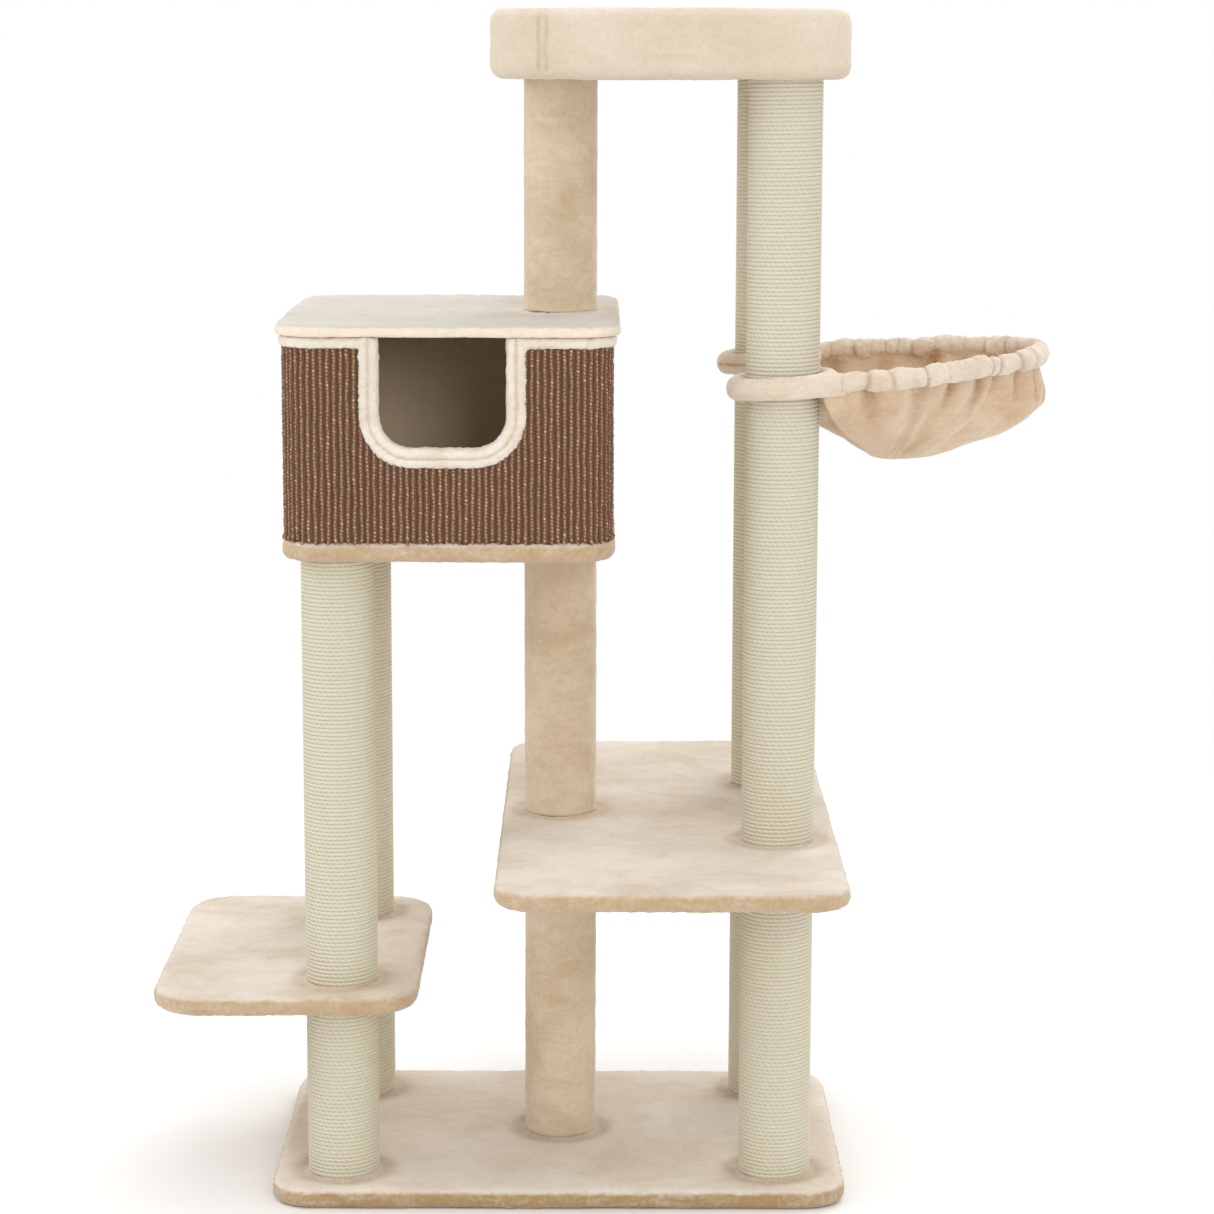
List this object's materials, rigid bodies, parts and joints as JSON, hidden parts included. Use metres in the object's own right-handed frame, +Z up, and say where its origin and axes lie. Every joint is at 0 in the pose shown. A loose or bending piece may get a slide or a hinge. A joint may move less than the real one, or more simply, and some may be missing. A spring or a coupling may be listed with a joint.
{
  "type": "cat tree",
  "caption": "Tall cat tree: a base, padded platforms on sisal-wound posts, an enclosed sleeping house, a hammock hung between two posts and a rimmed bed on top.",
  "frame": {"origin": "bottom centre of the whole tree's bounding box, on the underside of the base", "axes": "+Z up; +X to the right seen from the front, towards the hammock; -Y the front, where the house's doorway is"},
  "size_m": [1.3816, 1.05, 1.81],
  "materials": {
    "plush": "short cream plush, soft sheen, brushed patches",
    "post_plush": "short sand plush glued round a post",
    "sisal_rope": "natural sisal rope, tightly wound",
    "cardboard": "spiral-wound tube with plugged ends",
    "chipboard": "raw chipboard",
    "lid_plywood": "raw plywood",
    "steel": "zinc-plated steel",
    "sisal_carpet": "dark brown sisal carpet with upright ribs and golden flecks",
    "hammock_plush": "warm cream plush",
    "house_panel": "bent panel, plush outside, smooth brown lining inside"
  },
  "bodies": {
    "root": {"base_board": "chipboard", "base_cover": "plush", "bed_board": "chipboard", "bed_rim": "plush", "bolt_base_centre": "steel", "bolt_base_front_left": "steel", "bolt_base_front_right": "steel", "bolt_base_rear_left": "steel", "bolt_base_rear_right": "steel", "bolt_bed_centre": "steel", "bolt_bed_front_right": "steel", "bolt_bed_rear_right": "steel", "bolt_house_front_left": "steel", "bolt_house_rear_left": "steel", "house_edge_trim": "plush", "house_floor_board": "chipboard", "house_floor_cover": "plush", "house_lid_board": "lid_plywood", "house_lid_cover": "plush", "house_sisal_skin": "sisal_carpet", "house_wall": "house_panel", "low_platform_board": "chipboard", "low_platform_cover": "plush", "middle_platform_board": "chipboard", "middle_platform_cover": "plush", "post_centre_house_tube": "cardboard", "post_centre_lower_plush": "post_plush", "post_centre_lower_tube": "cardboard", "post_centre_middle_plush": "post_plush", "post_centre_middle_tube": "cardboard", "post_centre_upper_plush": "post_plush", "post_centre_upper_tube": "cardboard", "post_front_left_lower_rope": "sisal_rope", "post_front_left_lower_tube": "cardboard", "post_front_left_upper_rope": "sisal_rope", "post_front_left_upper_tube": "cardboard", "post_front_right_lower_rope": "sisal_rope", "post_front_right_lower_tube": "cardboard", "post_front_right_upper_rope": "sisal_rope", "post_front_right_upper_tube": "cardboard", "post_rear_left_lower_rope": "sisal_rope", "post_rear_left_lower_tube": "cardboard", "post_rear_left_upper_rope": "sisal_rope", "post_rear_left_upper_tube": "cardboard", "post_rear_right_lower_rope": "sisal_rope", "post_rear_right_lower_tube": "cardboard", "post_rear_right_upper_rope": "sisal_rope", "post_rear_right_upper_tube": "cardboard", "stud_house_centre": "steel", "stud_lid_centre": "steel", "stud_low_front_left": "steel", "stud_low_rear_left": "steel", "stud_middle_centre": "steel", "stud_middle_front_right": "steel", "stud_middle_rear_right": "steel"},
    "hammock": {"hammock_collar_front": "hammock_plush", "hammock_collar_rear": "hammock_plush", "hammock_sack": "hammock_plush", "hammock_wire": "steel"},
    "cushion": {"bed_cushion": "plush"}
  },
  "joints": [
    {"name": "hammock_height", "type": "slide", "parent": "root", "child": "hammock", "axis": [0, 0, 1], "range_m": [-0.5, 0.4]},
    {"name": "cushion_lift", "type": "slide", "parent": "root", "child": "cushion", "axis": [0, 0, 1], "range_m": [0, 0.3]}
  ]
}
